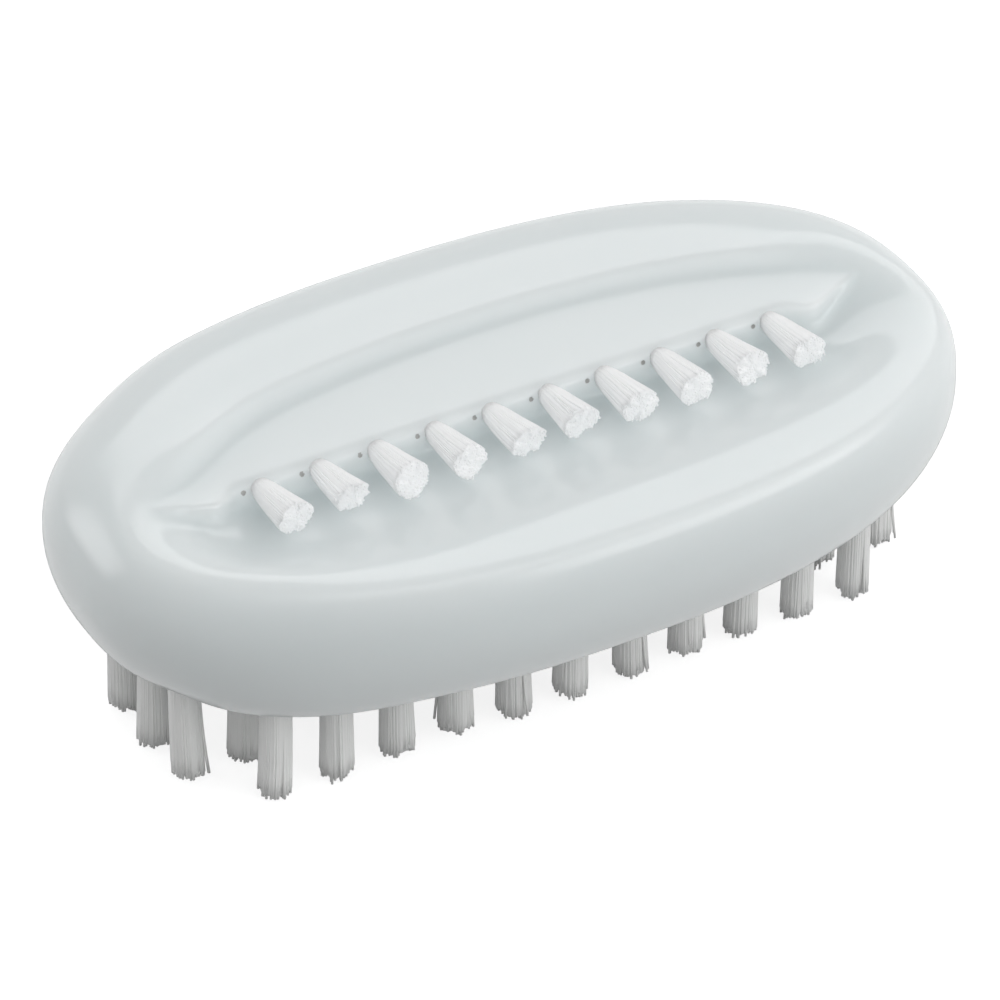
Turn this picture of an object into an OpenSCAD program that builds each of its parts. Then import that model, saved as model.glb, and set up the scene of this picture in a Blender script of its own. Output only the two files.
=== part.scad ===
// Oval nail brush: one moulded block, bristle tufts under it, and a row of short tufts in its finger recess.
// Millimetres. The origin is on the surface that the brush stands on, under the middle of the block.
// +X runs along the block, -Y is the front, where the short tufts point, and +Z is up.

/* [Block] */
// Length of the block
block_length = 87.5; // [84:0.5:100]
// Width of the block
block_width = 49.5; // [46:0.5:60]
// Thickness of the block
block_height = 17; // [15:0.5:20]
// Height of the widest line above the underside
belly_height = 8.5; // [7:0.5:10]
// How far the flat top is drawn in at the ends
shoulder_end_inset = 7; // [5:0.5:9]
// How far the flat top is drawn in at the sides
shoulder_side_inset = 6; // [4:0.5:8]
// How far the flat underside is drawn in at the ends
base_end_inset = 4.2; // [2:0.1:4.5]
// How far the flat underside is drawn in at the sides
base_side_inset = 4; // [3:0.5:8]

/* [Finger recess] */
// Length of the recess
recess_length = 79; // [76:0.5:80]
// Width of the recess, front to back
recess_width = 30; // [28:0.5:32]
// How far the recess's middle lies in front of the block's
recess_shift = 6.2; // [5:0.1:7]
// Depth of the recess's floor under the flat top
recess_depth = 5.7; // [5.2:0.1:6.5]
// How far the recess's outline lies under the flat top
crest_drop = 0.7; // [0.4:0.1:1]
// Width of the recess's sloping wall
recess_wall = 11; // [9:0.5:12]

/* [Shelf in the recess] */
// How far the shelf's front edge lies in front of the block's middle
shelf_front = 3.6; // [3:0.1:4]
// Length of the straight part of the shelf's front edge
shelf_straight = 58; // [56:0.5:60]
// Angle at which the front edge turns back at its ends, in degrees
shelf_end_angle = 25; // [15:1:30]
// Depth of the shelf's front edge under the flat top
shelf_front_drop = 2.4; // [2.2:0.1:2.8]
// Depth of the shelf's back edge under the flat top
shelf_back_drop = 1.3; // [0.9:0.1:1.6]
// How far the face with the short tufts is set back from the front edge
face_setback = 1.8; // [1.4:0.1:2.2]
// How far that face runs past the outer short tufts
face_margin = 2.2; // [1.8:0.1:2.6]
// Bevel along the top of that face
face_bevel = 1; // [0.6:0.1:1.4]

/* [Lower tufts] */
// Length of the outer tufts below the block
tuft_length = 11.5; // [9:0.5:15]
// How much shorter the inner tufts are trimmed
inner_trim = 3; // [0:0.5:5]
// Spacing of the tufts along and across the block
tuft_pitch = 6; // [5:0.1:6.1]
// Diameter of a tuft's hole
tuft_hole_d = 2.8; // [2:0.1:3.2]
// Depth of a tuft's hole
tuft_hole_depth = 5.5; // [4:0.5:6.5]
// Width of a tuft at its tip
tuft_tip_d = 3.9; // [3:0.1:4.4]

/* [Upper tufts] */
// Number of short tufts in the shelf
upper_count = 10; // [6:1:10]
// Spacing of the short tufts
upper_pitch = 5.8; // [5:0.1:6]
// Length of a short tuft in front of the shelf
upper_length = 7.2; // [5:0.1:8]
// Diameter of a short tuft's hole
upper_hole_d = 1.8; // [1.5:0.1:1.9]
// Depth of a short tuft's hole
upper_hole_depth = 6; // [4:0.5:7]
// Depth of the hole's middle under the flat top, at its mouth
upper_axis_drop = 3.2; // [3.1:0.1:3.6]
// Angle at which a short tuft points up, in degrees
upper_rise = 7; // [4:1:9]
// Width of a short tuft at its tip
upper_tip_d = 4.1; // [3:0.1:4.3]

/* [Bristles] */
// Strands in the ring of a tuft, round the one in its middle
ring_strands = 6; // [4:1:6]
// How far a strand reaches into the fused root of its tuft
strand_root = 0.8; // [0.4:0.1:1.5]
// Most that a strand ends short of the tuft's tip
strand_scatter = 1.2; // [0:0.1:2]
// Gap between a tuft's root and its hole
tuft_clearance = 0.05; // [0.02:0.01:0.1]

/* [Anchors] */
// Width of an anchor in a lower tuft
anchor_width = 4; // [3.4:0.1:4.4]
// Thickness of an anchor
anchor_thickness = 0.45; // [0.3:0.05:0.6]
// Height of an anchor, along its hole
anchor_height = 1.8; // [1:0.1:2.4]
// Width of an anchor in a short tuft
upper_anchor_width = 4.2; // [3.8:0.1:4.4]
// Height of an anchor in a short tuft, along its hole
upper_anchor_height = 1; // [0.8:0.1:1.4]
// How far that anchor lies inside the mouth of its hole
upper_anchor_seat = 1; // [0.8:0.1:1.4]
// Gap round an anchor in its slot
anchor_clearance = 0.03; // [0.01:0.01:0.05]
// Diameter of the pit over one end of such an anchor
mark_d = 0.75; // [0.6:0.05:1]
// Depth of that pit
mark_depth = 0.6; // [0.3:0.1:0.8]

/* [Hidden] */

// Colours as they look in daylight
block_colour = [0.84, 0.88, 0.89];
bristle_colour = [0.93, 0.94, 0.95];
anchor_colour = [0.45, 0.45, 0.46];

// Exponents of the rounded outlines: 2 is an ellipse, and more is squarer
plan_power = 2.4;
recess_power = 2.2;
shoulder_power = 2;
base_power = 1.7;
// How the recess's wall levels out into its floor: 1 is a plain slope
wall_power = 2.4;

// Points round an outline, and steps of the rounded profiles
outline_steps = 88;
recess_steps = 72;
profile_steps = 7;
wall_steps = 7;
round_steps = 32;
strand_sides = 3;

// Overrun of every cut past the face it opens
cut_over = 2;

// Tufts in each lower row, front row first
row_counts = [11, 13, 13, 13, 11];
rows = len(row_counts);

// Levels, from the surface that the brush stands on
underside_z = tuft_length;
belly_z = underside_z + belly_height;
top_z = underside_z + block_height;
floor_z = top_z - recess_depth;
crest_z = top_z - crest_drop;
shelf_front_z = top_z - shelf_front_drop;
shelf_back_z = top_z - shelf_back_drop;
shelf_back = recess_width / 2 - recess_shift;
shelf_slope = (shelf_back_z - shelf_front_z) / (shelf_back + shelf_front);
face_y = face_setback - shelf_front;
face_half = (upper_count - 1) / 2 * upper_pitch + face_margin;
upper_axis_z = top_z - upper_axis_drop;

// Strand places in a tuft, as shares of the tuft's radius
root_ring_share = 0.62;
root_strand_share = 0.3;
tip_ring_share = 0.72;
tip_strand_share = 0.26;
// How far a tip strays from its place, as a share of the tuft's radius at the tip
stray_share = 0.06;
first_seed = 7;

function signed_power(value, power) = sign(value) * pow(abs(value), power);

// One point of a rounded outline with half-lengths a and b
function oval_point(a, b, power, turn) =
    [a * signed_power(cos(turn), 2 / power), b * signed_power(sin(turn), 2 / power)];

function oval_ring(a, b, power, steps, y, z) = [
    for (k = [0 : steps - 1])
        let (p = oval_point(a, b, power, 360 * k / steps))
        [p.x, p.y + y, z]
];

// Rise and inset of a rounded profile at a turn of 0 to 90 degrees, each as a share of the whole
function rise_at(turn, power) = pow(sin(turn), 2 / power);
function inset_at(turn, power) = 1 - pow(cos(turn), 2 / power);

function block_ring(end_inset, side_inset, z) =
    oval_ring(block_length / 2 - end_inset, block_width / 2 - side_inset, plan_power, outline_steps, 0, z);

// Rings of the block from under its flat underside, past the widest line, to over its flat top
function block_rings() = concat(
    [block_ring(base_end_inset, base_side_inset, underside_z - cut_over)],
    [for (k = [profile_steps : -1 : 1])
        let (turn = 90 * k / profile_steps, share = inset_at(turn, base_power))
        block_ring(base_end_inset * share, base_side_inset * share,
            belly_z - belly_height * rise_at(turn, base_power))],
    [for (k = [0 : profile_steps])
        let (turn = 90 * k / profile_steps, share = inset_at(turn, shoulder_power))
        block_ring(shoulder_end_inset * share, shoulder_side_inset * share,
            belly_z + (top_z - belly_z) * rise_at(turn, shoulder_power))],
    [block_ring(shoulder_end_inset, shoulder_side_inset, top_z + cut_over)]
);

// Height of the recess's wall at an inset from its outline; past the outline it runs on up
function wall_z(inset) = floor_z + (crest_z - floor_z) * pow(max(1 - inset / recess_wall, 0), wall_power);

function recess_ring(inset, z) =
    oval_ring(recess_length / 2 - inset, recess_width / 2 - inset, recess_power, recess_steps, -recess_shift, z);

function recess_rings() = concat(
    [for (k = [wall_steps : -1 : 0])
        let (inset = recess_wall * k / wall_steps)
        recess_ring(inset, wall_z(inset))],
    [recess_ring(-cut_over, wall_z(-cut_over)),
        recess_ring(-cut_over, max(top_z, wall_z(-cut_over)) + cut_over)]
);

// A closed solid through rings that have equally many points, listed upwards
module loft(rings) {
    n = len(rings[0]);
    last = len(rings) - 1;
    polyhedron(
        points = [for (ring = rings) each ring],
        faces = concat(
            [[for (k = [0 : n - 1]) k]],
            [for (r = [0 : last - 1], k = [0 : n - 1])
                let (a = r * n + k, b = r * n + (k + 1) % n)
                each [[a, a + n, b + n], [a, b + n, b]]],
            [[for (k = [n - 1 : -1 : 0]) last * n + k]]
        ),
        convexity = 6
    );
}

module block_blank() {
    intersection() {
        loft(block_rings());
        translate([-block_length, -block_width, underside_z])
            cube([2 * block_length, 2 * block_width, block_height]);
    }
}

// Height of the shelf's sloping face
function shelf_z(y) = shelf_front_z + shelf_slope * (y + shelf_front);

// A bar along the block with the given outline across it
module bar(half, outline) {
    translate([-half, 0, 0])
        rotate([90, 0, 90])
            linear_extrude(height = 2 * half)
                polygon(outline);
}

// The shelf under its sloping face, with its front edge turned back at both ends
module shelf() {
    half = shelf_straight / 2;
    reach = block_length / 2;
    turn_back = (reach - half) * tan(shelf_end_angle);
    back = block_width / 2;
    difference() {
        intersection() {
            translate([0, 0, floor_z - cut_over])
                linear_extrude(height = recess_depth + 2 * cut_over)
                    polygon([[-half, -shelf_front], [half, -shelf_front], [reach, turn_back - shelf_front],
                        [reach, back], [-reach, back], [-reach, turn_back - shelf_front]]);
            bar(reach, [[-back, floor_z - cut_over], [back, floor_z - cut_over], [back, shelf_z(back)],
                [-back, shelf_z(-back)]]);
        }
        face_space(back);
    }
}

// The space in front of the set-back face and over its bevel
module face_space(back) {
    bevel_y = face_y + face_bevel;
    bevel_z = shelf_z(bevel_y);
    bar(face_half, [[-back, floor_z - 2 * cut_over], [face_y, floor_z - 2 * cut_over],
        [face_y, bevel_z - face_bevel], [bevel_y + cut_over, bevel_z + cut_over], [-back, bevel_z + cut_over]]);
}

// Places in the lower field: row 0 is the front one, and steps are counted from the middle
function row_half(row) = row < 0 || row >= rows ? -1 : (row_counts[row] - 1) / 2;
function row_y(row) = (row - (rows - 1) / 2) * tuft_pitch;
function row_steps(row) = [for (k = [-row_half(row) : row_half(row)]) k];

// An inner tuft has a neighbour in all eight directions
function is_inner(row, k) = min([for (d = [-1 : 1]) row_half(row + d) - abs(k) - 1]) >= 0;
function lower_length(row, k) = tuft_length - (is_inner(row, k) ? inner_trim : 0);

// Puts a tuft's own frame, with +Z out of the hole's mouth, at a lower place
module at_lower(row, k) {
    translate([k * tuft_pitch, row_y(row), underside_z])
        rotate([180, 0, 0])
            children();
}

// Puts the same frame at a short tuft's place in the set-back face
module at_upper(k) {
    translate([(k - (upper_count - 1) / 2) * upper_pitch, face_y, upper_axis_z])
        rotate([90 - upper_rise, 0, 0])
            children();
}

// A blade across the hole, its outer edge at a depth inside the mouth
module blade(width, height, seat, gap) {
    translate([-width / 2 - gap, -anchor_thickness / 2 - gap, -seat - height - gap])
        cube([width + 2 * gap, anchor_thickness + 2 * gap, height + 2 * gap]);
}

module lower_anchor(gap) {
    blade(anchor_width, anchor_height, tuft_hole_depth - anchor_height - anchor_clearance, gap);
}

module upper_anchor(gap) {
    blade(upper_anchor_width, upper_anchor_height, upper_anchor_seat, gap);
}

// The hole of a lower tuft, with the slot that its anchor slides down
module lower_hole() {
    translate([0, 0, -tuft_hole_depth])
        cylinder(d = tuft_hole_d, h = tuft_hole_depth + cut_over, $fn = round_steps);
    width = anchor_width + 2 * anchor_clearance;
    thickness = anchor_thickness + 2 * anchor_clearance;
    translate([-width / 2, -thickness / 2, -tuft_hole_depth])
        cube([width, thickness, tuft_hole_depth + cut_over]);
}

// The hole of a short tuft, with its anchor's slot and the pit over one end of the anchor
module upper_hole() {
    translate([0, 0, -upper_hole_depth])
        cylinder(d = upper_hole_d, h = upper_hole_depth + cut_over, $fn = round_steps);
    upper_anchor(anchor_clearance);
    translate([(mark_d - upper_anchor_width) / 2, 0, -mark_depth])
        cylinder(d = mark_d, h = mark_depth + cut_over, $fn = round_steps);
}

module body() {
    color(block_colour)
        difference() {
            block_blank();
            difference() {
                loft(recess_rings());
                shelf();
            }
            for (row = [0 : rows - 1], k = row_steps(row))
                at_lower(row, k)
                    lower_hole();
            for (k = [0 : upper_count - 1])
                at_upper(k)
                    upper_hole();
        }
}

// A strand from inside the root to its tip, with flat ends; slant lowers one corner of the tip
module strand(root, tip, root_r, tip_r, turn, slant) {
    n = strand_sides;
    spin = [for (k = [0 : n - 1]) [cos(turn + 360 * k / n), sin(turn + 360 * k / n)]];
    polyhedron(
        points = concat(
            [for (s = spin) [root.x + root_r * s.x, root.y + root_r * s.y, root.z]],
            [for (k = [0 : n - 1])
                [tip.x + tip_r * spin[k].x, tip.y + tip_r * spin[k].y, tip.z - (k == 0 ? slant : 0)]]
        ),
        faces = concat(
            [[for (k = [0 : n - 1]) k]],
            [for (k = [0 : n - 1])
                let (b = (k + 1) % n)
                each [[k, k + n, b + n], [k, b + n, b]]],
            [[for (k = [n - 1 : -1 : 0]) k + n]]
        )
    );
}

// A tuft: its fused root in the hole, and strands that spread from it
module tuft(root_d, depth, length, tip_d, seed) {
    root_r = root_d / 2;
    tip_r = tip_d / 2;
    chance = rands(0, 1, 4 * (ring_strands + 1), seed);
    translate([0, 0, -depth])
        cylinder(r = root_r, h = depth, $fn = round_steps);
    for (k = [0 : ring_strands]) {
        turn = 360 * k / ring_strands;
        out = k == ring_strands ? 0 : 1;
        short = k % 2 == 1 ? strand_scatter * chance[4 * k] : 0;
        stray = stray_share * tip_r * [chance[4 * k + 1] - 1 / 2, chance[4 * k + 2] - 1 / 2];
        strand(
            root = [out * root_ring_share * root_r * cos(turn), out * root_ring_share * root_r * sin(turn),
                -strand_root],
            tip = [out * tip_ring_share * tip_r * cos(turn) + stray.x,
                out * tip_ring_share * tip_r * sin(turn) + stray.y, length - short],
            root_r = root_strand_share * root_r,
            tip_r = tip_strand_share * tip_r,
            turn = turn + 360 * chance[4 * k + 3],
            slant = short
        );
    }
}

module bristles_lower_row(row) {
    color(bristle_colour)
        for (k = row_steps(row))
            at_lower(row, k)
                difference() {
                    tuft(tuft_hole_d - 2 * tuft_clearance, tuft_hole_depth - tuft_clearance,
                        lower_length(row, k), tuft_tip_d, first_seed + rows * k + row);
                    lower_anchor(anchor_clearance);
                }
}

module bristles_upper_row() {
    color(bristle_colour)
        for (k = [0 : upper_count - 1])
            at_upper(k)
                difference() {
                    tuft(upper_hole_d - 2 * tuft_clearance, upper_hole_depth - tuft_clearance,
                        upper_length, upper_tip_d, first_seed + rows * rows * rows + k);
                    upper_anchor(anchor_clearance);
                }
}

module anchors_lower_row(row) {
    color(anchor_colour)
        for (k = row_steps(row))
            at_lower(row, k)
                lower_anchor(0);
}

module anchors_upper_row() {
    color(anchor_colour)
        for (k = [0 : upper_count - 1])
            at_upper(k)
                upper_anchor(0);
}

body();
bristles_lower_row(0);  // bristles_lower_row_1
bristles_lower_row(1);  // bristles_lower_row_2
bristles_lower_row(2);  // bristles_lower_row_3
bristles_lower_row(3);  // bristles_lower_row_4
bristles_lower_row(4);  // bristles_lower_row_5
bristles_upper_row();
anchors_lower_row(0);  // anchors_lower_row_1
anchors_lower_row(1);  // anchors_lower_row_2
anchors_lower_row(2);  // anchors_lower_row_3
anchors_lower_row(3);  // anchors_lower_row_4
anchors_lower_row(4);  // anchors_lower_row_5
anchors_upper_row();
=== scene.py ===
"""Looks of the oval nail brush: a smooth moulded block, bristle tufts, and the studio round them."""
import math
import bpy
import numpy as np
from mathutils import Matrix, Vector


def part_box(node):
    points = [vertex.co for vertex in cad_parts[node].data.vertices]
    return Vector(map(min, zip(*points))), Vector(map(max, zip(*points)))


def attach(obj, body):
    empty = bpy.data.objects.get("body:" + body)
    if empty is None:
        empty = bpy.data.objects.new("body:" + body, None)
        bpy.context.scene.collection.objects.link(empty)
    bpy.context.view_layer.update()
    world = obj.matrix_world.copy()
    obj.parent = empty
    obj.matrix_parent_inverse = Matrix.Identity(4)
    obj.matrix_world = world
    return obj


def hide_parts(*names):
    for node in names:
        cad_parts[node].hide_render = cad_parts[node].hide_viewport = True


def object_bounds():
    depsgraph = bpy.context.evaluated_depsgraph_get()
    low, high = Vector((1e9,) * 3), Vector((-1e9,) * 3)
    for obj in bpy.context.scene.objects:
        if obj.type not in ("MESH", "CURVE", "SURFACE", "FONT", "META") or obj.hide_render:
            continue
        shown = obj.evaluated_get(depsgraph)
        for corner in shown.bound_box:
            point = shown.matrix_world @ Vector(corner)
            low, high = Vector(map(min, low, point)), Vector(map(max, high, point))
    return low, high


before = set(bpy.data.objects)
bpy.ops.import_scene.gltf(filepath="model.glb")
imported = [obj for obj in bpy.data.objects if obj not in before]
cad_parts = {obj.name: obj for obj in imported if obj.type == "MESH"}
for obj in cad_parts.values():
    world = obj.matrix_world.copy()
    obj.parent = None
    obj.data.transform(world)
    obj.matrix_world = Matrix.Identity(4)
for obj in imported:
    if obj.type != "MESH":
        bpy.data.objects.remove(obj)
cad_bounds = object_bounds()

# One millimetre in metres. The sizes below are in millimetres, with X along the brush and -Y to its front
MM = 0.001

# The block's box, from the solids
LENGTH, WIDTH, TOP = (round((high - low) / MM, 3) for low, high in zip(*cad_bounds))
UNDERSIDE = round(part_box("body")[0].z / MM, 3)

# The block's outline and belly, and the powers of its rounded forms
BELLY = UNDERSIDE + 8.5
PLAN_POWER, BASE_POWER = 2.4, 1.7

# The finger recess: its outline at the top, the width of its wall, and its crest
RECESS, RECESS_Y, RECESS_POWER = (39.5, 15.0), -6.2, 2.2
CREST, WALL, WALL_POWER = TOP - 0.7, 11.0, 2.4

# The shelf in the recess: its front edge turns back at both ends, and its front face is set back
SHELF_Y, SHELF_Z = -3.6, TOP - 2.4
SHELF_BACK_Y, SHELF_BACK_Z = RECESS_Y + RECESS[1], TOP - 1.3
SHELF_SLOPE = (SHELF_BACK_Z - SHELF_Z) / (SHELF_BACK_Y - SHELF_Y)
SHELF_HALF, SHELF_TURN = 29.0, math.tan(math.radians(25.0))
FACE_BACK, FACE_HALF = 1.8, 28.3
FACE_Y = SHELF_Y + FACE_BACK

# The lower tufts, which reach from the underside to the ground, their holes and the slots of their anchors
PITCH = 6.0
ROW_COUNTS = (11, 13, 13, 13, 11)
ROW_HALVES = np.array([(count - 1) // 2 for count in ROW_COUNTS])
MIDDLE_ROW = len(ROW_COUNTS) // 2
TUFT = UNDERSIDE
HOLE_R, HOLE_DEPTH = 1.4, 5.5
SLOT_HALF = (2.03, 0.255)

# The short tufts on the shelf, with the place of the pit beside each
UPPER_PITCH, UPPER_COUNT = 5.8, 10
UPPER_R, UPPER_LENGTH, UPPER_RISE = 0.9, 7.2, math.radians(7.0)
PIT_SIDE = 1.725

# From here on the forms follow the photograph more closely than the solids do.
# A pair that ends in _FADE says where a form starts to fade in and over what length, both counted in the
# direction in which the form grows. A pair that ends in _AT is the middle and the width of a form along X.

# A crowned top in place of the flat one, softer at the left end than at the right, and a base further in.
# CROWN and BASE say how far in from the plan's outline they lie, along X and along Y
CROWN, BASE = (15.0, 14.0), (5.0, 4.4)
CROWN_POWER = 3.4
CROWN_SOFTER_LEFT, CROWN_SOFTER_RIGHT = 0.9, 0.25
CROWN_END_FADE = (20.0, 18.0)
BASE_EDGE = 0.05

# The front left corner of the plan is softer, and the base is fuller there
CORNER_SOFTER = 0.17
CORNER_LEFT_FADE, CORNER_FRONT_FADE = (4.0, 24.0), (0.0, 10.0)
BASE_FULLER, BASE_FULLER_AT, BASE_FULLER_FADE = 0.55, (-30.0, 9.0), (7.0, 8.0)

# The recess's floor, its lower crest at the ends, and the broad ridge in front of it
FLOOR = TOP - 5.2
END_DIP, END_FADE = 0.9, (26.0, 13.0)
RIDGE_Z, RIDGE_WIDTH, RIDGE_TILT = TOP - 2.4, 0.5, -0.004
TROUGH_SLOPE, TROUGH_Y, TROUGH_FADE = 0.15, -4.0, (0.0, 2.0)
FRONT_FADE = (-2.0, 12.0)

# The recess is wider at the front left, and its left end wall is further in
RECESS_FULLER, RECESS_FULLER_AT, RECESS_FULLER_FADE = 1.2, (-16.0, 11.0), (8.0, 8.0)
END_WALL_IN = 1.3
END_WALL_LEFT_FADE, END_WALL_BACK_FADE = (20.0, 14.0), (-12.0, 8.0)

# The shelf's tilt along the brush, the ends of its set-back face, and how round its front edge turns back
SHELF_TILT = 0.006
FACE_FADE, TURN_ROUND = (-FACE_HALF - 3.2, 4.0), 1.0

# Roundings where two forms meet
SHELF_EDGE, FACE_EDGE = 0.5, 1.9
HOLLOW_EDGE, FOOT_EDGE, FOOT_FADE = 0.9, 1.5, (-FACE_Y - 3.0, 4.0)
CREST_EDGE, CREST_FRONT, CREST_END = 0.8, 0.4, 2.4
HOLE_EDGE, SLOT_EDGE, UPPER_EDGE, PIT_EDGE = 0.35, 0.12, 0.1, 0.15

# The inner lower tufts' shortness, and the short row's place with its shallow holes and pits, whose cuts
# reach only this far out in front of the shelf
INNER_TRIM = 3.6
UPPER_SHIFT, UPPER_Z, UPPER_DEPTH = 0.5, TOP - 3.0, 0.4
PIT_R, PIT_DEPTH = 0.19, 0.3
UPPER_REACH = 4.0

# Least sums and slopes that the block's formulas divide by, and the part of a grid step that counts as none
LEAST_SUM, LEAST_SHARE_SLOPE, LEAST_SLOPE = 1e-9, 1e-6, 0.02
ROUND_OFF = 1e-6


def lower_places():
    """Row, step and place of every lower tuft, with its length. One with others all round it is shorter."""
    out = []
    for row, half in enumerate(ROW_HALVES):
        for k in range(-half, half + 1):
            beside = ROW_HALVES[max(row - 1, 0):row + 2]
            inner = 0 < row < len(ROW_COUNTS) - 1 and abs(k) < beside.min()
            out.append((row, k, k * PITCH, (row - MIDDLE_ROW) * PITCH, TUFT - INNER_TRIM if inner else TUFT))
    return out


def upper_places():
    """Places of the short tufts along the brush."""
    return [(k - (UPPER_COUNT - 1) / 2) * UPPER_PITCH + UPPER_SHIFT for k in range(UPPER_COUNT)]


# Smooth joins and fades
def smooth_max(a, b, reach):
    """The larger of two distances, rounded where they differ by less than the reach."""
    near = np.maximum(reach - np.abs(a - b), 0.0) / reach
    return np.maximum(a, b) + near * near * near * reach / 6.0


def smooth_min(a, b, reach):
    return -smooth_max(-a, -b, reach)


def fade(value, start, run):
    """Zero up to the start, one past the run after it, and smooth in between."""
    t = np.clip((value - start) / run, 0.0, 1.0)
    return t * t * t * (t * (6.0 * t - 15.0) + 10.0)


def hump(value, middle, width):
    """One at the middle, falling to nothing on both sides."""
    return np.exp(-((value - middle) / width) ** 2)


# The block as a field of distances
def oval_share(x, y, radii, insets, power, start, limits, rounds):
    """Share of the insets by which an oval shrinks until its outline passes through a point.

    It comes with the size of its slope, and is found by Newton's method, held within the limits.
    """
    x, y = np.abs(x), np.abs(y)
    share = np.full(np.broadcast(x, y).shape, start)
    for _ in range(rounds):
        a, b = radii[0] - insets[0] * share, radii[1] - insets[1] * share
        p, q = (x / a) ** power, (y / b) ** power
        total = np.maximum(p + q, LEAST_SUM)
        miss = total ** (1 / power) - 1
        gain = total ** (1 / power - 1) * (p * insets[0] / a + q * insets[1] / b)
        share = np.clip(share - miss / np.maximum(gain, LEAST_SHARE_SLOPE), *limits)
    a, b = radii[0] - insets[0] * share, radii[1] - insets[1] * share
    slope_x, slope_y = x ** (power - 1) / a ** power, y ** (power - 1) / b ** power
    gain = (x / a) ** power * insets[0] / a + (y / b) ** power * insets[1] / b
    slope = np.sqrt(slope_x * slope_x + slope_y * slope_y) / np.maximum(gain, LEAST_SHARE_SLOPE)
    return share, np.minimum(slope, 1.0)


def plan_share(x, y, insets):
    """Share of the insets at which the block's plan outline passes through a point, and its slope."""
    power = PLAN_POWER - CORNER_SOFTER * fade(-x, *CORNER_LEFT_FADE) * fade(-y, *CORNER_FRONT_FADE)
    return oval_share(x, y, (LENGTH / 2, WIDTH / 2), insets, power, start=0.0, limits=(-1.5, 1.2), rounds=7)


def recess_inset(x, y):
    """Inset of a point from the recess's outline, and the size of its slope."""
    moved_y = y + RECESS_FULLER * hump(x, *RECESS_FULLER_AT) * fade(-y, *RECESS_FULLER_FADE)
    inset, slope = oval_share(x, moved_y - RECESS_Y, RECESS, (1.0, 1.0), RECESS_POWER,
                              start=4.0, limits=(-12.0, 12.0), rounds=8)
    return inset - END_WALL_IN * fade(-x, *END_WALL_LEFT_FADE) * fade(y, *END_WALL_BACK_FADE), slope


def shares_at(x, y):
    """What the block's field needs to know of a point's plan place: shares of crown, base and recess."""
    base, base_slope = plan_share(x, y, BASE)
    fuller = 1.0 + BASE_FULLER * hump(x, *BASE_FULLER_AT) * fade(-y, *BASE_FULLER_FADE)
    return plan_share(x, y, CROWN), (base * fuller, base_slope * fuller), recess_inset(x, y)


def half_block(share, slope, away, height, power, edge):
    """Distance to one half of the block's rounded side, from its inset's share and the way from the belly."""
    across = np.maximum(1 - share, 0.0)
    rise = away / height
    up = (np.sqrt(rise * rise + edge * edge) - edge) / (math.sqrt(1 + edge * edge) - edge)
    total = np.maximum(across ** power + up ** power, LEAST_SUM)
    slope_across = total ** (1 / power - 1) * across ** (power - 1) * slope
    slope_up = total ** (1 / power - 1) * up ** (power - 1) / height
    size = np.sqrt(slope_across * slope_across + slope_up * slope_up)
    return (total ** (1 / power) - 1) / np.maximum(size, LEAST_SLOPE)


def block_side(x, z, crown, base):
    """Signed distance to the block without its recess and holes."""
    softer_left = CROWN_SOFTER_LEFT * fade(-x, *CROWN_END_FADE)
    softer_right = CROWN_SOFTER_RIGHT * fade(x, *CROWN_END_FADE)
    power = CROWN_POWER - softer_left - softer_right
    upper = half_block(*crown, np.maximum(z - BELLY, 0), TOP - BELLY, power, 0.0)
    lower = half_block(*base, np.maximum(BELLY - z, 0), BELLY - UNDERSIDE, BASE_POWER, BASE_EDGE)
    return np.where(z >= BELLY, upper, lower)


def recess_wall(x, y, z, inset, slope, ends, front):
    """Signed distance to the recess's wall and floor: a steep wall at the back, a broad one at the front."""
    share = np.maximum(1 - inset / WALL, 0.0)
    high = CREST - FLOOR - END_DIP * ends
    steep = high * share ** WALL_POWER
    steep_slope = high * WALL_POWER / WALL * share ** (WALL_POWER - 1)
    share = np.clip(1 - (inset - RIDGE_WIDTH) / (WALL - RIDGE_WIDTH), 0.0, 1.0)
    tilt = TROUGH_SLOPE * (TROUGH_Y - y) * fade(CREST - z, *TROUGH_FADE)
    rise = RIDGE_Z + RIDGE_TILT * x - FLOOR - tilt
    broad = tilt + rise * share * share * (3 - 2 * share)
    broad_slope = rise * 6 * share * (1 - share) / (WALL - RIDGE_WIDTH)
    climb = (steep_slope * (1 - front) + broad_slope * front) * slope
    return (z - FLOOR - steep * (1 - front) - broad * front) / np.sqrt(1 + climb ** 2)


def shelf_side(x, y, z):
    """Signed distance to the space above and in front of the shelf."""
    set_back = fade(-np.abs(x), *FACE_FADE)
    past = np.abs(x) - SHELF_HALF
    bend = np.sqrt(past * past + TURN_ROUND * TURN_ROUND)
    front_y = SHELF_Y + FACE_BACK * set_back + SHELF_TURN * (past + bend) / 2
    turn_slope = SHELF_TURN * (1 + past / bend) / 2
    face = (front_y - y) / np.sqrt(1 + turn_slope * turn_slope)
    plane = z - SHELF_Z - SHELF_TILT * x - SHELF_SLOPE * (y - SHELF_Y)
    plane = plane / math.sqrt(1 + SHELF_SLOPE * SHELF_SLOPE)
    return smooth_max(plane, face, SHELF_EDGE + FACE_EDGE * set_back)


def from_short_tuft(x, y, z):
    """A point as seen from the nearest short tuft: beside its axis, across it, and out along it."""
    c, s = math.cos(UPPER_RISE), math.sin(UPPER_RISE)
    middle = (UPPER_COUNT - 1) / 2
    k = np.clip(np.round((x - UPPER_SHIFT) / UPPER_PITCH + middle), 0, UPPER_COUNT - 1)
    beside = x - UPPER_SHIFT - (k - middle) * UPPER_PITCH
    return beside, (y - FACE_Y) * s + (z - UPPER_Z) * c, -(y - FACE_Y) * c + (z - UPPER_Z) * s


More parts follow.
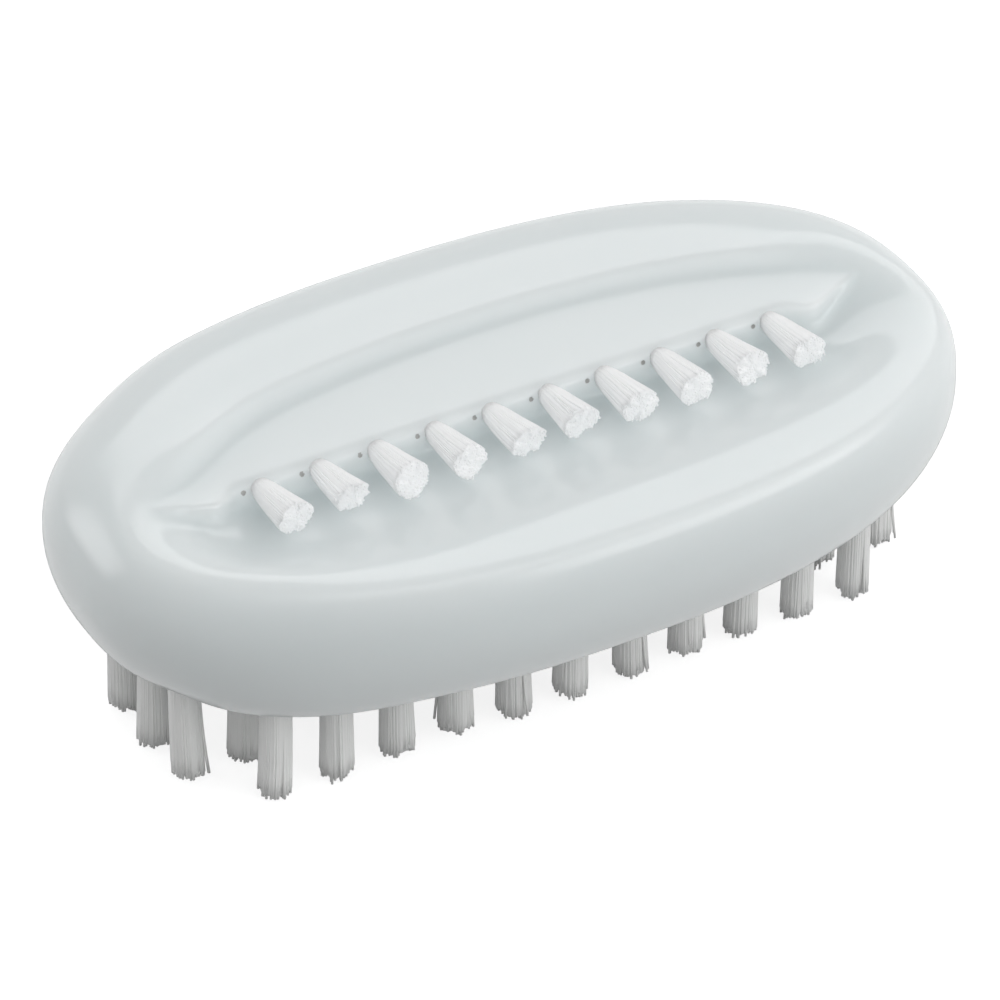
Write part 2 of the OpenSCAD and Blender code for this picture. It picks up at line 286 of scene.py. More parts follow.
def round_cut(beside, across, along, radius, depth):
    """Signed distance to a round hole along a short tuft's direction."""
    cut = np.maximum(np.sqrt(beside * beside + across * across) - radius, -along - depth)
    return np.maximum(cut, along - UPPER_REACH)


def lower_cuts(x, y, z):
    """Signed distances to the nearest lower hole and to the slot of its anchor."""
    row = np.clip(np.round(y / PITCH), -MIDDLE_ROW, MIDDLE_ROW)
    half = ROW_HALVES[(row + MIDDLE_ROW).astype(int)]
    dx, dy = x - np.clip(np.round(x / PITCH), -half, half) * PITCH, y - row * PITCH
    deep = z - UNDERSIDE - HOLE_DEPTH
    hole = np.maximum(np.sqrt(dx * dx + dy * dy) - HOLE_R, deep)
    slot = np.maximum(np.maximum(np.abs(dx) - SLOT_HALF[0], np.abs(dy) - SLOT_HALF[1]), deep)
    return hole, slot


def body_field(x, y, z, shares):
    """Signed distance to the block, near its surface: below zero inside."""
    crown, base, (inset, slope) = shares
    ends = fade(np.abs(x), *END_FADE)
    front = fade(-y, *FRONT_FADE)
    wall = recess_wall(x, y, z, inset, slope, ends, front)
    hollow = smooth_min(wall, shelf_side(x, y, z), HOLLOW_EDGE + FOOT_EDGE * fade(-y, *FOOT_FADE))
    crest = CREST_EDGE + CREST_FRONT * front + CREST_END * ends * (1 - front)
    out = smooth_max(block_side(x, z, crown, base), hollow, crest)
    beside, across, along = from_short_tuft(x, y, z)
    out = smooth_max(out, -round_cut(beside, across, along, UPPER_R, UPPER_DEPTH), UPPER_EDGE)
    out = smooth_max(out, -round_cut(beside + PIT_SIDE, across, along, PIT_R, PIT_DEPTH), PIT_EDGE)
    hole, slot = lower_cuts(x, y, z)
    out = smooth_max(out, -hole, HOLE_EDGE)
    return smooth_max(out, -slot, SLOT_EDGE)


# The block's mesh
def levels(low, high, step, fine):
    """Grid levels of the given step, finer in the listed spans (from, to, step)."""
    cuts = sorted({low, high} | {end for span in fine for end in span[:2] if low < end < high})
    out = [low]
    for start, end in zip(cuts[:-1], cuts[1:]):
        middle = (start + end) / 2
        here = min([step] + [span[2] for span in fine if span[0] <= middle <= span[1]])
        count = max(1, math.ceil((end - start) / here - ROUND_OFF))
        out += [start + (end - start) * k / count for k in range(1, count + 1)]
    return np.array(out)


def around(middle, reach, step):
    """A span of finer grid levels round a place."""
    return middle - reach, middle + reach, step


def block_grid():
    """Grid levels along X, Y and Z: half to three quarters of a millimetre, and finer round small forms."""
    fine_x = [around(place - PIT_SIDE, 0.3, 0.1) for place in upper_places()]
    fine_x += [around(place, 1.1, 0.32) for place in upper_places()]
    fine_y = [around(FACE_Y, 2.0, 0.25)]
    fine_y += [around((row - MIDDLE_ROW) * PITCH, 0.4, 0.2) for row in range(len(ROW_COUNTS))]
    hole_rims = (UNDERSIDE - HOLE_EDGE, UNDERSIDE + 3 * HOLE_EDGE, 0.28)
    shelf_edge = (TOP - 4.9, TOP - 1.5, 0.3)
    crest = (TOP - 1.5, TOP + 0.4, 0.32)
    fine_z = [hole_rims, shelf_edge, around(UPPER_Z - 0.05, 0.4, 0.1), crest]
    side, over = 0.85, 0.6
    return (levels(-LENGTH / 2 - side, LENGTH / 2 + side, 0.65, fine_x),
            levels(-WIDTH / 2 - side, WIDTH / 2 + side, 0.7, fine_y),
            levels(UNDERSIDE - over, TOP + over, 0.75, fine_z))


def surface_mesh(axes, values):
    """Vertices and quads of the zero level of a field on a grid, one vertex in each cell that it crosses."""
    inside = values < 0
    size = values.shape
    count = np.zeros([n - 1 for n in size], np.int8)
    corners = [(a, b, c) for a in (0, 1) for b in (0, 1) for c in (0, 1)]
    for a, b, c in corners:
        count += inside[a:size[0] - 1 + a, b:size[1] - 1 + b, c:size[2] - 1 + c]
    cells = np.argwhere((count > 0) & (count < len(corners)))
    index = np.full(count.shape, -1, np.int64)
    index[tuple(cells.T)] = np.arange(len(cells))
    total = np.zeros((len(cells), 3))
    hits = np.zeros(len(cells))
    for corner in corners:
        for axis in range(3):
            if corner[axis]:
                continue
            # The field's zero along the cell's edge that leaves this corner
            low = cells + corner
            high = low.copy()
            high[:, axis] += 1
            low_value, high_value = values[tuple(low.T)], values[tuple(high.T)]
            cross = (low_value < 0) != (high_value < 0)
            share = low_value[cross] / (low_value[cross] - high_value[cross])
            point = np.stack([axes[d][low[cross, d]] for d in range(3)], 1)
            point[:, axis] += share * (axes[axis][high[cross, axis]] - axes[axis][low[cross, axis]])
            total[cross] += point
            hits[cross] += 1
    quads = [face_quads(inside, index, axis) for axis in range(3)]
    return total / hits[:, None], np.concatenate(quads)


def face_quads(inside, index, axis):
    """One quad across each grid edge along an axis whose two ends lie on different sides of the surface."""
    low, high = [slice(None)] * 3, [slice(None)] * 3
    low[axis], high[axis] = slice(0, -1), slice(1, None)
    spots = np.argwhere(inside[tuple(low)] != inside[tuple(high)])
    b, c = (axis + 1) % 3, (axis + 2) % 3
    for side in (b, c):
        spots = spots[(spots[:, side] > 0) & (spots[:, side] < inside.shape[side] - 1)]
    ring = []
    for step_b, step_c in ((-1, -1), (0, -1), (0, 0), (-1, 0)):
        cell = spots.copy()
        cell[:, b] += step_b
        cell[:, c] += step_c
        ring.append(index[tuple(cell.T)])
    quads = np.stack(ring, 1)
    outside = ~inside[tuple(spots.T)]
    quads[outside] = quads[outside][:, ::-1]
    return quads


def settle(verts, rounds=3, step=0.02, most=0.12, flattest=0.05):
    """Moves each vertex onto the block's surface along the field's slope, a short way in each round."""
    def field(p):
        return body_field(p[:, 0], p[:, 1], p[:, 2], shares_at(p[:, 0], p[:, 1]))
    for _ in range(rounds):
        here = field(verts)
        slope = np.empty_like(verts)
        for axis in range(3):
            moved = verts.copy()
            moved[:, axis] += step
            slope[:, axis] = (field(moved) - here) / step
        size = np.maximum(np.einsum("ij,ij->i", slope, slope), flattest)
        shift = -slope * (here / size)[:, None]
        length = np.linalg.norm(shift, axis=1)
        shift *= (np.minimum(length, most) / np.maximum(length, LEAST_SUM))[:, None]
        verts = verts + shift
    return verts


def new_object(name, verts, quads, caps=()):
    """An object from points in millimetres, with smooth quads and flat caps of any number of sides."""
    sizes = np.array([4] * len(quads) + [len(ring) for ring in caps])
    corners = np.concatenate([quads.ravel(), *caps]).astype(np.int32)
    mesh = bpy.data.meshes.new(name)
    mesh.vertices.add(len(verts))
    mesh.vertices.foreach_set("co", (verts * MM).ravel())
    mesh.loops.add(len(corners))
    mesh.loops.foreach_set("vertex_index", corners)
    mesh.polygons.add(len(sizes))
    mesh.polygons.foreach_set("loop_start", (np.cumsum(sizes) - sizes).astype(np.int32))
    mesh.polygons.foreach_set("use_smooth", np.arange(len(sizes)) < len(quads))
    mesh.update(calc_edges=True)
    mesh.validate()
    obj = bpy.data.objects.new(name, mesh)
    bpy.context.scene.collection.objects.link(obj)
    return obj


def make_block():
    xs, ys, zs = block_grid()
    flat = shares_at(xs[:, None], ys[None, :])
    shares = [(share[:, :, None], slope[:, :, None]) for share, slope in flat]
    values = body_field(xs[:, None, None], ys[None, :, None], zs[None, None, :], shares)
    verts, quads = surface_mesh((xs, ys, zs), values)
    return new_object("moulded_block", settle(verts), quads)


def paint_pit_shade(mesh, beyond=0.03, least_depth=0.08, most_depth=2.0):
    """Gives the walls and floors of the pits the second material, a grey painted shade."""
    centres = np.empty(len(mesh.polygons) * 3)
    mesh.polygons.foreach_get("center", centres)
    beside, across, along = from_short_tuft(*centres.reshape(-1, 3).T / MM)
    near = np.hypot(beside + PIT_SIDE, across) < PIT_R + beyond
    deep = (-along > least_depth) & (-along < most_depth)
    mesh.polygons.foreach_set("material_index", (near & deep).astype(np.int32))


# Filaments and tufts

# A filament's sides and its thickness as shares of the mean. One with more of Z than this stands upright
FILAMENT_SIDES, FILAMENT_SPREAD, UPRIGHT = 6, (0.9, 1.15), 0.9

# Waves round a tuft's end and flutes round its core, each with a random share of its size and a random start
END_WAVES, CORE_WAVES, CORE_FLUTE = (2, 3, 5, 8), (5, 8, 13, 19), 0.013
WAVE_SHARES, ANY_TURN = (0.4, 1.0), 6.3
END_SAMPLES, LEAN = 90, 0.13
FLAT_FADE = (0.0, 0.5)

# The core lies just under the filaments. Its foot is narrow, and its end is crowned in (share, height) steps
CORE_GAP, CORE_GAP_AT_END, FLUTE_AT_ROOT = 0.02, 0.04, 0.3
CORE_FOOT, CORE_FOOT_DEPTH = 0.4, 0.1
CORE_CROWN = ((0.9, 0.07), (0.65, 0.1), (0.3, 0.1))

# Filaments over the core's end: their share of the radius, and their number as parts of the rim's
INNER_LAYERS = ((0.87, 5, 6), (0.72, 5, 7), (0.56, 4, 7), (0.4, 3, 7), (0.24, 2, 7))
CENTRE_SHARE, CENTRE_COUNT = 0.08, 5
INNER_START, INNER_RAGGED = 0.7, 0.55
CORE_SHORT, CORE_UNDER = 0.4, 0.06

# Each tuft has its own random draws
LOWER_SEED, SEEDS_IN_ROW, UPPER_SEED = 1000, 50, 2000

# Random places of the filaments, in radians, shares and millimetres
TURN_SPREAD, SWING_SPREAD = 0.05, 0.07
SHORT_MIDDLE, SHORT_SPREAD = 0.4, 0.25
STRAY_ARC, STRAY_JITTER, STRAY_CURVE = (0.08, 0.3), 0.04, 2.2


def rods(paths, radius, rng):
    """Vertices, quads and caps of bent rods along paths of points."""
    count, steps = paths.shape[:2]
    sides = FILAMENT_SIDES
    axis = paths[:, -1] - paths[:, 0]
    axis /= np.linalg.norm(axis, axis=1)[:, None]
    helper = np.where(np.abs(axis[:, 2:3]) < UPRIGHT, [[0.0, 0.0, 1.0]], [[1.0, 0.0, 0.0]])
    side = np.cross(axis, helper)
    side /= np.linalg.norm(side, axis=1)[:, None]
    other = np.cross(axis, side)
    spin = rng.uniform(0, 2 * np.pi, count)[:, None] + 2 * np.pi * np.arange(sides)[None, :] / sides
    ring = np.cos(spin)[:, :, None] * side[:, None, :] + np.sin(spin)[:, :, None] * other[:, None, :]
    verts = paths[:, :, None, :] + radius[:, None, None, None] * ring[:, None, :, :]
    first = np.arange(count) * steps * sides
    quads = (first[:, None, None] + tube_quads(steps, sides)[None]).reshape(-1, 4)
    top = first[:, None] + (steps - 1) * sides + np.arange(sides)[None, :]
    bottom = first[:, None] + np.arange(sides)[None, ::-1]
    return verts.reshape(-1, 3), quads, np.concatenate([top, bottom])


def tube_quads(rings, sides):
    """Quads of a tube whose rings of vertices follow one another."""
    j = np.arange(rings - 1)[:, None] * sides
    k = np.arange(sides)[None, :]
    after = (k + 1) % sides
    return np.stack([j + k, j + after, j + sides + after, j + sides + k], -1).reshape(-1, 4)


def random_waves(rng, counts):
    """For each number of waves round a tuft, a share of their size and their start."""
    return [(n, rng.uniform(*WAVE_SHARES), rng.uniform(0, ANY_TURN)) for n in counts]


def wave_height(waves, turn):
    return sum(size * np.cos(n * turn + start) for n, size, start in waves)


class Tuft:
    """Form of one tuft in its own frame, with +Z out of the hole."""

    def __init__(self, rng, root_r, tip_r, length, sink, swell, waves, ragged, tilt):
        self.root_r, self.tip_r, self.length, self.sink = root_r, tip_r, length, sink
        self.swell, self.wave_size, self.ragged = swell, waves, ragged
        self.waves = random_waves(rng, END_WAVES)
        self.slant = rng.normal(0, tilt, 2)
        self.lean = rng.normal(0, LEAN, 2)
        self.top = length - self.edge(np.linspace(0, 2 * np.pi, END_SAMPLES)).max()

    def radius(self, z):
        share = np.maximum(z / self.length, 0.0)
        return self.root_r + (self.tip_r - self.root_r) * share ** self.swell

    def edge(self, turn):
        """Height to add to the tuft's end round its rim."""
        slant = self.slant[0] * np.cos(turn) + self.slant[1] * np.sin(turn)
        return self.wave_size * wave_height(self.waves, turn) + slant


def tuft_core(rng, tuft, end, sides=60, parts=9):
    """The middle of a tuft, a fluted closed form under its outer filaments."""
    turn = 2 * np.pi * np.arange(sides) / sides
    flutes = CORE_FLUTE * wave_height(random_waves(rng, CORE_WAVES), turn)
    rings = []
    for share in np.arange(parts + 1) / parts:
        z = -tuft.sink + (end + tuft.sink) * share + tuft.edge(turn) * share ** 3
        bare = tuft.radius(z) - CORE_GAP - CORE_GAP_AT_END * share
        r = bare * (1 + flutes * (FLUTE_AT_ROOT + share))
        rings.append(np.stack([r * np.cos(turn), r * np.sin(turn), z], 1))
    foot = rings[0] * [CORE_FOOT, CORE_FOOT, 1.0] - [0, 0, CORE_FOOT_DEPTH]
    high = rings[-1]
    middle = [0, 0, high[:, 2].mean()]
    crown = [(high - middle) * share + middle + [0, 0, lift] for share, lift in CORE_CROWN]
    rings = [foot] + rings + crown
    caps = [np.arange((len(rings) - 1) * sides, len(rings) * sides), np.arange(sides)[::-1]]
    return np.concatenate(rings), tube_quads(len(rings), sides), caps


def tuft_paths(rng, tuft, count, share, start, ragged, stray, thick, parts):
    """Paths of a ring of filaments at a share of a tuft's radius, from a start height to ragged tips."""
    turn = 2 * np.pi * np.arange(count) / count + rng.normal(0, TURN_SPREAD, count)
    short = np.clip(SHORT_MIDDLE + rng.normal(0, SHORT_SPREAD, count), 0.0, 1.0)
    ends = tuft.top + share * tuft.edge(turn) - ragged * short
    # Some neighbours part from the tuft together
    from_stray = np.abs(np.angle(np.exp(1j * (turn - rng.uniform(0, ANY_TURN)))))
    away = from_stray < rng.uniform(*STRAY_ARC)
    wild = away * rng.uniform(0, stray) + rng.uniform(-STRAY_JITTER, STRAY_JITTER, count)
    z = start + (ends[:, None] - start) * np.linspace(0, 1, parts + 1)[None, :]
    along = np.clip(z / tuft.length, 0, 1)
    out = share * (tuft.radius(z) - thick) + wild[:, None] * along ** STRAY_CURVE
    swing = turn[:, None] + rng.normal(0, SWING_SPREAD, count)[:, None] * along ** 2
    return np.stack([out * np.cos(swing), out * np.sin(swing), z], -1)


def tuft_parts(rng, tuft, thick, rim, stray, flat, parts=6):
    """Meshes of one tuft in its own frame: the core, its outer layer and its tips."""
    core_end = tuft.top - CORE_SHORT * tuft.ragged - CORE_UNDER
    out = [tuft_core(rng, tuft, core_end)]
    layers = [tuft_paths(rng, tuft, rim, 1.0, -tuft.sink, tuft.ragged, stray, thick, parts)]
    inner = [(share, rim * few // many) for share, few, many in INNER_LAYERS]
    inner.append((CENTRE_SHARE, CENTRE_COUNT))
    for share, count in inner:
        layers.append(tuft_paths(rng, tuft, count, share, core_end - INNER_START, INNER_RAGGED * tuft.ragged,
                                 0.0, thick, 1))
    for paths in layers:
        out.append(rods(paths, rng.uniform(*FILAMENT_SPREAD, len(paths)) * thick, rng))
    # The tuft grows flat over its first half, and leans over towards its tip
    for verts, _, _ in out:
        along = np.clip(verts[:, 2] / tuft.length, 0, 1)
        verts[:, 1] *= 1 - (1 - flat) * fade(along, *FLAT_FADE)
        verts[:, :2] += tuft.lean * (along ** 2)[:, None]
    return out


def place_lower(points, x, y):
    """Puts a tuft's points under the block, with its tip down."""
    return np.stack([x + points[:, 0], y - points[:, 1], UNDERSIDE - points[:, 2]], 1)


def place_upper(points, x):
    """Puts a tuft's points on the shelf's face, with its tip to the front and a little up."""
    c, s = math.cos(UPPER_RISE), math.sin(UPPER_RISE)
    y = FACE_Y - points[:, 2] * c + points[:, 1] * s
    z = UPPER_Z + points[:, 2] * s + points[:, 1] * c
    return np.stack([x + points[:, 0], y, z], 1)


def make_tufts(name, parts):
    """One object from many meshes, each (vertices, quads, caps)."""
    verts, quads, caps, at = [], [], [], 0
    for part_verts, part_quads, part_caps in parts:
        verts.append(part_verts)
        quads.append(part_quads + at)
        caps += [ring + at for ring in part_caps]
        at += len(part_verts)
    return new_object(name, np.concatenate(verts), np.concatenate(quads), caps)


def make_lower_row(row):
    parts = []
    for tuft_row, k, x, y, length in lower_places():
        if tuft_row != row:
            continue
        rng = np.random.default_rng(LOWER_SEED + SEEDS_IN_ROW * row + k)
        tuft = Tuft(rng, root_r=HOLE_R + 0.03, tip_r=rng.uniform(1.55, 1.8), length=length, sink=1.5,
                    swell=1.05, waves=0.15, ragged=1.3, tilt=0.12)
        pieces = tuft_parts(rng, tuft, thick=0.12, rim=54, stray=0.6, flat=1.0)
        parts += [(place_lower(verts, x, y), quads, caps) for verts, quads, caps in pieces]
    return make_tufts("filaments_lower_row_%d" % (row + 1), parts)


def make_upper_row():
    parts = []
    for k, x in enumerate(upper_places()):
        rng = np.random.default_rng(UPPER_SEED + k)
        tuft = Tuft(rng, root_r=UPPER_R + 0.05, tip_r=rng.uniform(1.8, 2.0), length=UPPER_LENGTH, sink=0.4,
                    swell=0.68, waves=0.14, ragged=0.35, tilt=0.3)
        pieces = tuft_parts(rng, tuft, thick=0.11, rim=58, stray=0.5, flat=0.85)
        parts += [(place_upper(verts, x), quads, caps) for verts, quads, caps in pieces]
    return make_tufts("filaments_upper_row", parts)


# Materials
def shader(name, colour, roughness, **inputs):
    """A material with a plain shader, its nodes, its links and the shader."""
    mat = bpy.data.materials.new(name)
    mat.use_nodes = True
    bsdf = mat.node_tree.nodes["Principled BSDF"]
    bsdf.inputs["Base Color"].default_value = (*colour, 1.0)
    bsdf.inputs["Roughness"].default_value = roughness
    for key, value in inputs.items():
        bsdf.inputs[key.replace("_", " ")].default_value = value
    return mat, mat.node_tree.nodes, mat.node_tree.links, bsdf


def noise(nodes, links, scale, detail, stretch=(1, 1, 1)):
    where = nodes.new("ShaderNodeTexCoord")
    turn = nodes.new("ShaderNodeMapping")
    turn.inputs["Scale"].default_value = stretch
    links.new(where.outputs["Object"], turn.inputs["Vector"])
    cloud = nodes.new("ShaderNodeTexNoise")
    cloud.inputs["Scale"].default_value = scale
    cloud.inputs["Detail"].default_value = detail
    links.new(turn.outputs["Vector"], cloud.inputs["Vector"])
    return cloud.outputs["Fac"]


def between(nodes, links, factor, low, high):
    ramp = nodes.new("ShaderNodeMapRange")
    ramp.inputs["To Min"].default_value = low
    ramp.inputs["To Max"].default_value = high
    links.new(factor, ramp.inputs["Value"])
    return ramp.outputs["Result"]


def tint(nodes, links, factor, dark, light):
    mix = nodes.new("ShaderNodeMix")
    mix.data_type = "RGBA"
    mix.inputs["A"].default_value = (*dark, 1.0)
    mix.inputs["B"].default_value = (*light, 1.0)
    links.new(factor, mix.inputs["Factor"])
    return mix.outputs["Result"]


def bump(nodes, links, bsdf, height, strength, distance):
    node = nodes.new("ShaderNodeBump")
    node.inputs["Strength"].default_value = strength
    node.inputs["Distance"].default_value = distance
    links.new(height, node.inputs["Height"])
    links.new(node.outputs["Normal"], bsdf.inputs["Normal"])


def gloss_by_angle(nodes, links, bsdf, gloss, start, end):
    """Full gloss where the surface faces the view, fading to none where it turns away."""
    edge = nodes.new("ShaderNodeLayerWeight")
    edge.inputs["Blend"].default_value = 0.5
    ramp = nodes.new("ShaderNodeMapRange")
    ramp.interpolation_type = "SMOOTHSTEP"
    ramp.inputs["From Min"].default_value = start
    ramp.inputs["From Max"].default_value = end
    ramp.inputs["To Min"].default_value = gloss
    ramp.inputs["To Max"].default_value = 0.0
    links.new(edge.outputs["Facing"], ramp.inputs["Value"])
    links.new(ramp.outputs["Result"], bsdf.inputs["Specular IOR Level"])


def plastic_material():
    """Glossy bluish-white plastic that light enters a little, with faint clouds of colour and wear."""
    mat, nodes, links, bsdf = shader("block_plastic", (0.766, 0.81, 0.815), 0.1, IOR=1.52,
                                     Subsurface_Weight=1.0, Subsurface_Scale=0.006)
    bsdf.inputs["Subsurface Radius"].default_value = (1.0, 1.0, 1.0)
    cloud = noise(nodes, links, scale=40.0, detail=2.0)
    dark, light = (0.752, 0.80, 0.806), (0.78, 0.82, 0.824)
    links.new(tint(nodes, links, cloud, dark, light), bsdf.inputs["Base Color"])
    wear = noise(nodes, links, scale=220.0, detail=4.0)
    links.new(between(nodes, links, wear, 0.06, 0.16), bsdf.inputs["Roughness"])
    gloss_by_angle(nodes, links, bsdf, gloss=0.5, start=0.56, end=0.92)
    bump(nodes, links, bsdf, noise(nodes, links, scale=500.0, detail=2.0), strength=0.02, distance=0.0001)
    return mat


def nylon_material(name, dark, light, sheen, roughness=0.4, spread=0.08):
    """White nylon, a little different from filament to filament and streaked along them."""
    mat, nodes, links, bsdf = shader(name, light, roughness, IOR=1.53, Sheen_Weight=sheen,
                                     Sheen_Roughness=0.5)
    each = nodes.new("ShaderNodeNewGeometry").outputs["Random Per Island"]
    links.new(tint(nodes, links, each, dark, light), bsdf.inputs["Base Color"])
    streak = noise(nodes, links, scale=900.0, detail=2.0)
    links.new(between(nodes, links, streak, roughness - spread, roughness + spread), bsdf.inputs["Roughness"])
    return mat


def pit_shade_material():
    """Grey painted shade in the pits, with a fine grain."""
    mat, nodes, links, bsdf = shader("pit_painted_shade", (0.42, 0.42, 0.41), 0.7)
    grain = noise(nodes, links, scale=3000.0, detail=2.0)
    dark, light = (0.34, 0.34, 0.33), (0.5, 0.5, 0.49)
    links.new(tint(nodes, links, grain, dark, light), bsdf.inputs["Base Color"])
    return mat


def metal_material():
    """Flat wire with the lengthwise grain of its rolling."""
    mat, nodes, links, bsdf = shader("anchor_wire", (0.5, 0.49, 0.47), 0.35, Metallic=1.0)
    grain = noise(nodes, links, scale=1500.0, detail=3.0, stretch=(0.1, 1.0, 1.0))
    links.new(between(nodes, links, grain, 0.28, 0.45), bsdf.inputs["Roughness"])
    bump(nodes, links, bsdf, grain, strength=0.15, distance=0.00005)
    return mat


# The camera stands where the photograph's did: its direction and distance, and the point that it looks at,
# right and up of the frame's origin. The focal length is in pixels of a picture this wide
AZIMUTH, ELEVATION, DISTANCE = math.radians(-29.3), math.radians(36.6), 600.0
AIM_RIGHT, AIM_UP = -0.55, 11.1
FOCAL_PIXELS, PICTURE_PIXELS, SENSOR = 6520.0, 1000.0, 36.0


def place_camera():
    back = Vector((math.sin(AZIMUTH) * math.cos(ELEVATION), -math.cos(AZIMUTH) * math.cos(ELEVATION),
                   math.sin(ELEVATION)))
    right = Vector((math.cos(AZIMUTH), math.sin(AZIMUTH), 0.0))
    up = back.cross(right)
    eye = (back * DISTANCE + right * AIM_RIGHT + up * AIM_UP) * MM
    data = bpy.data.cameras.new("camera")
    data.sensor_width = SENSOR
    data.lens = FOCAL_PIXELS / PICTURE_PIXELS * SENSOR
    data.clip_start = 0.05
    data.clip_end = 20.0
    cam = bpy.data.objects.new("camera", data)
    turn = Matrix((right, up, back)).transposed()
    cam.matrix_world = Matrix.Translation(eye) @ turn.to_4x4()
    bpy.context.scene.collection.objects.link(cam)
    bpy.context.scene.camera = cam


# Lamps, as seen from the brush: azimuth, elevation, width and height in degrees, radiance, and the shares
# of the width and of the height over which the light grows from the edge inwards
LAMPS = {
    "back_softbox": (60, 42, 68, 34, 1.22, (0.25, 0.12)),
    "left_softbox": (138, 22, 50, 38, 2.0, (0.35, 0.35)),
    "right_softbox": (335, 32, 60, 50, 0.5, (0.5, 0.5)),
    "front_softbox": (308, 17, 66, 36, 2.25, (0.35, 0.25)),
    "fill_softbox": (275, 57, 110, 60, 1.05, (0.5, 0.5)),
}

# How far the lamps stand from the point that they face, in metres, and that point's height
LAMP_DISTANCE, LAMP_AIM = 1.0, 0.02

# The floor's half-width in metres and its grey, with the glow that the camera sees; then the level of the air
FLOOR_HALF, FLOOR_GREY, FLOOR_GLOW = 3.0, 0.42, 0.82
AIR_LIGHT, AIR_SEEN = 0.4, 1.0


def edge_ramp(nodes, links, place, width):
    """Zero at both ends of a lamp's side, rising to one over the width."""
    fold = nodes.new("ShaderNodeMath")
    fold.operation = "PINGPONG"
    fold.inputs[1].default_value = 0.5
    links.new(place, fold.inputs[0])
    ramp = nodes.new("ShaderNodeMapRange")
    ramp.interpolation_type = "SMOOTHSTEP"
    ramp.inputs["From Max"].default_value = width
    links.new(fold.outputs[0], ramp.inputs["Value"])
    return ramp.outputs["Result"]


def softbox(name, azimuth, elevation, spread, rise, radiance, soft):
    """A rectangular lamp that faces the brush and is dimmer towards its edges."""
    azimuth, elevation = math.radians(azimuth), math.radians(elevation)
    to = Vector((math.cos(elevation) * math.cos(azimuth), math.cos(elevation) * math.sin(azimuth),
                 math.sin(elevation)))
    data = bpy.data.lights.new(name, "AREA")
    data.shape = "RECTANGLE"
    data.size = 2 * LAMP_DISTANCE * math.tan(math.radians(spread / 2))
    data.size_y = 2 * LAMP_DISTANCE * math.tan(math.radians(rise / 2))
    data.energy = math.pi * data.size * data.size_y * radiance
    data.use_nodes = True
    nodes, links = data.node_tree.nodes, data.node_tree.links
    place = nodes.new("ShaderNodeNewGeometry")
    parts = nodes.new("ShaderNodeSeparateXYZ")
    links.new(place.outputs["Parametric"], parts.inputs[0])
    both = nodes.new("ShaderNodeMath")
    both.operation = "MULTIPLY"
    for k, width in enumerate(soft):
        links.new(edge_ramp(nodes, links, parts.outputs[k], width), both.inputs[k])
    links.new(both.outputs[0], nodes["Emission"].inputs["Strength"])
    obj = bpy.data.objects.new(name, data)
    obj.location = Vector((0, 0, LAMP_AIM)) + to * LAMP_DISTANCE
    obj.rotation_euler = (-to).to_track_quat("-Z", "Y").to_euler()
    obj.visible_camera = False
    bpy.context.scene.collection.objects.link(obj)


def seen_straight(nodes, links):
    """One for rays from the camera, a mirror or glass, and zero for the light's own rays."""
    ray = nodes.new("ShaderNodeLightPath")
    level = ray.outputs["Is Camera Ray"]
    for kind in ("Is Glossy Ray", "Is Transmission Ray"):
        either = nodes.new("ShaderNodeMath")
        either.operation = "MAXIMUM"
        links.new(level, either.inputs[0])
        links.new(ray.outputs[kind], either.inputs[1])
        level = either.outputs[0]
    return level


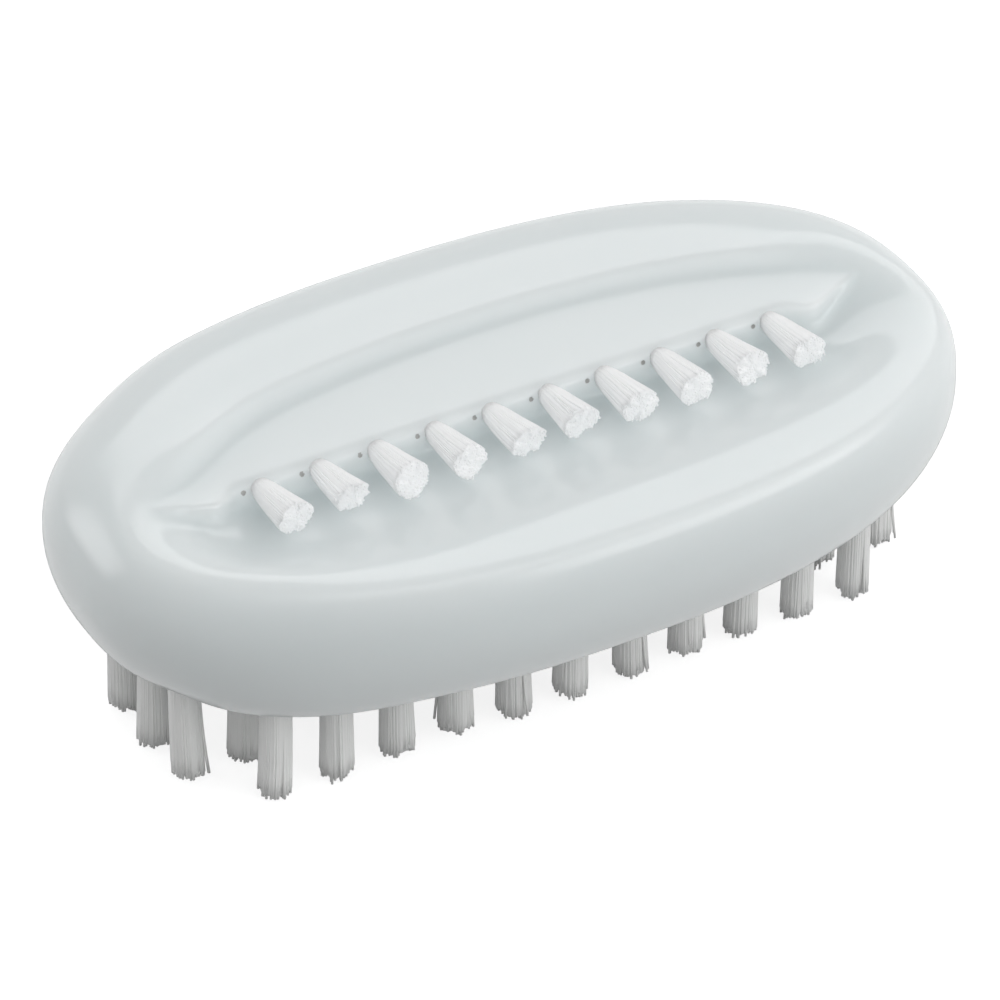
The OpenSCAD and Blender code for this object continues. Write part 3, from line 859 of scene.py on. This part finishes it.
def floor_material():
    """A pale floor that keeps the shadow, and that the camera sees as white."""
    mat, nodes, links, bsdf = shader("studio_white", (FLOOR_GREY,) * 3, 0.9, Specular_IOR_Level=0.0)
    glow = nodes.new("ShaderNodeEmission")
    share = nodes.new("ShaderNodeMath")
    share.operation = "MULTIPLY"
    share.inputs[1].default_value = FLOOR_GLOW
    links.new(seen_straight(nodes, links), share.inputs[0])
    links.new(share.outputs[0], glow.inputs["Strength"])
    both = nodes.new("ShaderNodeAddShader")
    links.new(bsdf.outputs[0], both.inputs[0])
    links.new(glow.outputs[0], both.inputs[1])
    links.new(both.outputs[0], nodes["Material Output"].inputs["Surface"])
    return mat


def make_floor():
    corners = [(-FLOOR_HALF, -FLOOR_HALF, 0), (FLOOR_HALF, -FLOOR_HALF, 0), (FLOOR_HALF, FLOOR_HALF, 0),
               (-FLOOR_HALF, FLOOR_HALF, 0)]
    mesh = bpy.data.meshes.new("studio_floor")
    mesh.from_pydata(corners, [], [(0, 1, 2, 3)])
    mesh.materials.append(floor_material())
    obj = bpy.data.objects.new("studio_floor", mesh)
    bpy.context.scene.collection.objects.link(obj)


def make_air():
    world = bpy.data.worlds.new("studio_air")
    bpy.context.scene.world = world
    world.use_nodes = True
    nodes, links = world.node_tree.nodes, world.node_tree.links
    sky = nodes["Background"]
    sky.inputs["Color"].default_value = (1, 1, 1, 1)
    level = between(nodes, links, seen_straight(nodes, links), AIR_LIGHT, AIR_SEEN)
    links.new(level, sky.inputs["Strength"])


place_camera()
make_floor()
make_air()
for name, settings in LAMPS.items():
    softbox(name, *settings)

plastic = plastic_material()
# Both rows are white nylon; the short tufts' colour is a little lighter, painted light that brightens them
lower_nylon = nylon_material("lower_nylon", (0.91, 0.92, 0.91), (0.965, 0.97, 0.96), sheen=0.5)
upper_nylon = nylon_material("upper_nylon", (0.965, 0.975, 0.985), (0.985, 0.99, 0.998), sheen=1.0)
wire = metal_material()

block = make_block()
block.data.materials.append(plastic)
# The second material is a grey painted shade for the pits
block.data.materials.append(pit_shade_material())
# The faces inside the pits take the painted shade
paint_pit_shade(block.data)
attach(block, "root")
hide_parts("body")

for row in range(len(ROW_COUNTS)):
    piece = make_lower_row(row)
    piece.data.materials.append(lower_nylon)
    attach(piece, "root")
    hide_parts("bristles_lower_row_%d" % (row + 1))

piece = make_upper_row()
piece.data.materials.append(upper_nylon)
# Thin clear nylon lets the lamps' light through, so the short tufts cast no shadow of their own
piece.visible_shadow = False
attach(piece, "root")
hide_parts("bristles_upper_row")

for name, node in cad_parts.items():
    if name.startswith("anchors"):
        node.data.materials.clear()
        node.data.materials.append(wire)

bpy.context.scene.view_settings.view_transform = "Standard"
